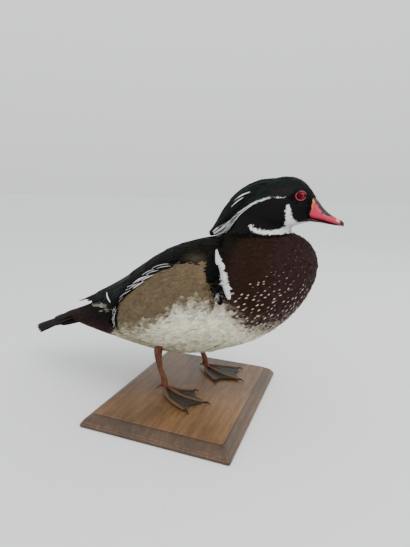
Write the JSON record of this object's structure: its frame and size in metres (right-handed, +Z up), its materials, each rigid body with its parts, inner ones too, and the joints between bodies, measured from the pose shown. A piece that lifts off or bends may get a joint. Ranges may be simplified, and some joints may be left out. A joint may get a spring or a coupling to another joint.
{
  "type": "mounted wood duck",
  "caption": "Mounted drake wood duck standing on a moulded wooden board: crested head, folded wings, barred flanks and webbed feet.",
  "frame": {"origin": "centre of the board's flat underside, on the surface that it stands on", "axes": "+X the way the bird faces, +Y to its left, +Z up"},
  "size_m": [0.3632, 0.188, 0.238],
  "materials": {
    "base": "stained and waxed hardwood, satin, worn on its moulded edge",
    "plumage_body": "body plumage: chestnut breast with white flecks, cream belly",
    "plumage_head": "short glossy head plumage, black and dark green with white bands",
    "plumage_crest": "long silky crest feathers, dark green gloss with white lines",
    "plumage_tail": "long tail feathers, brownish black",
    "plumage_wing": "folded wing feathers, black with a green and bronze gloss",
    "plumage_flank": "finely barred buff flank plumage with black and white edges",
    "bill": "smooth horny sheath, pink-red with a black ridge and tip",
    "eye": "glass eye, dark red with a black pupil",
    "leg": "scaly skin, dried orange-brown",
    "foot": "scaly toes and dark dried webs"
  },
  "bodies": {
    "root": {"base_board": "base", "torso": "plumage_body", "neck": "plumage_head", "head": "plumage_head", "crest": "plumage_crest", "tail": "plumage_tail", "wing_left": "plumage_wing", "wing_right": "plumage_wing", "flank_left": "plumage_flank", "flank_right": "plumage_flank", "bill_upper": "bill", "bill_lower": "bill", "eye_left": "eye", "eye_right": "eye", "leg_left": "leg", "leg_right": "leg", "foot_left": "foot", "foot_right": "foot"}
  },
  "joints": []
}
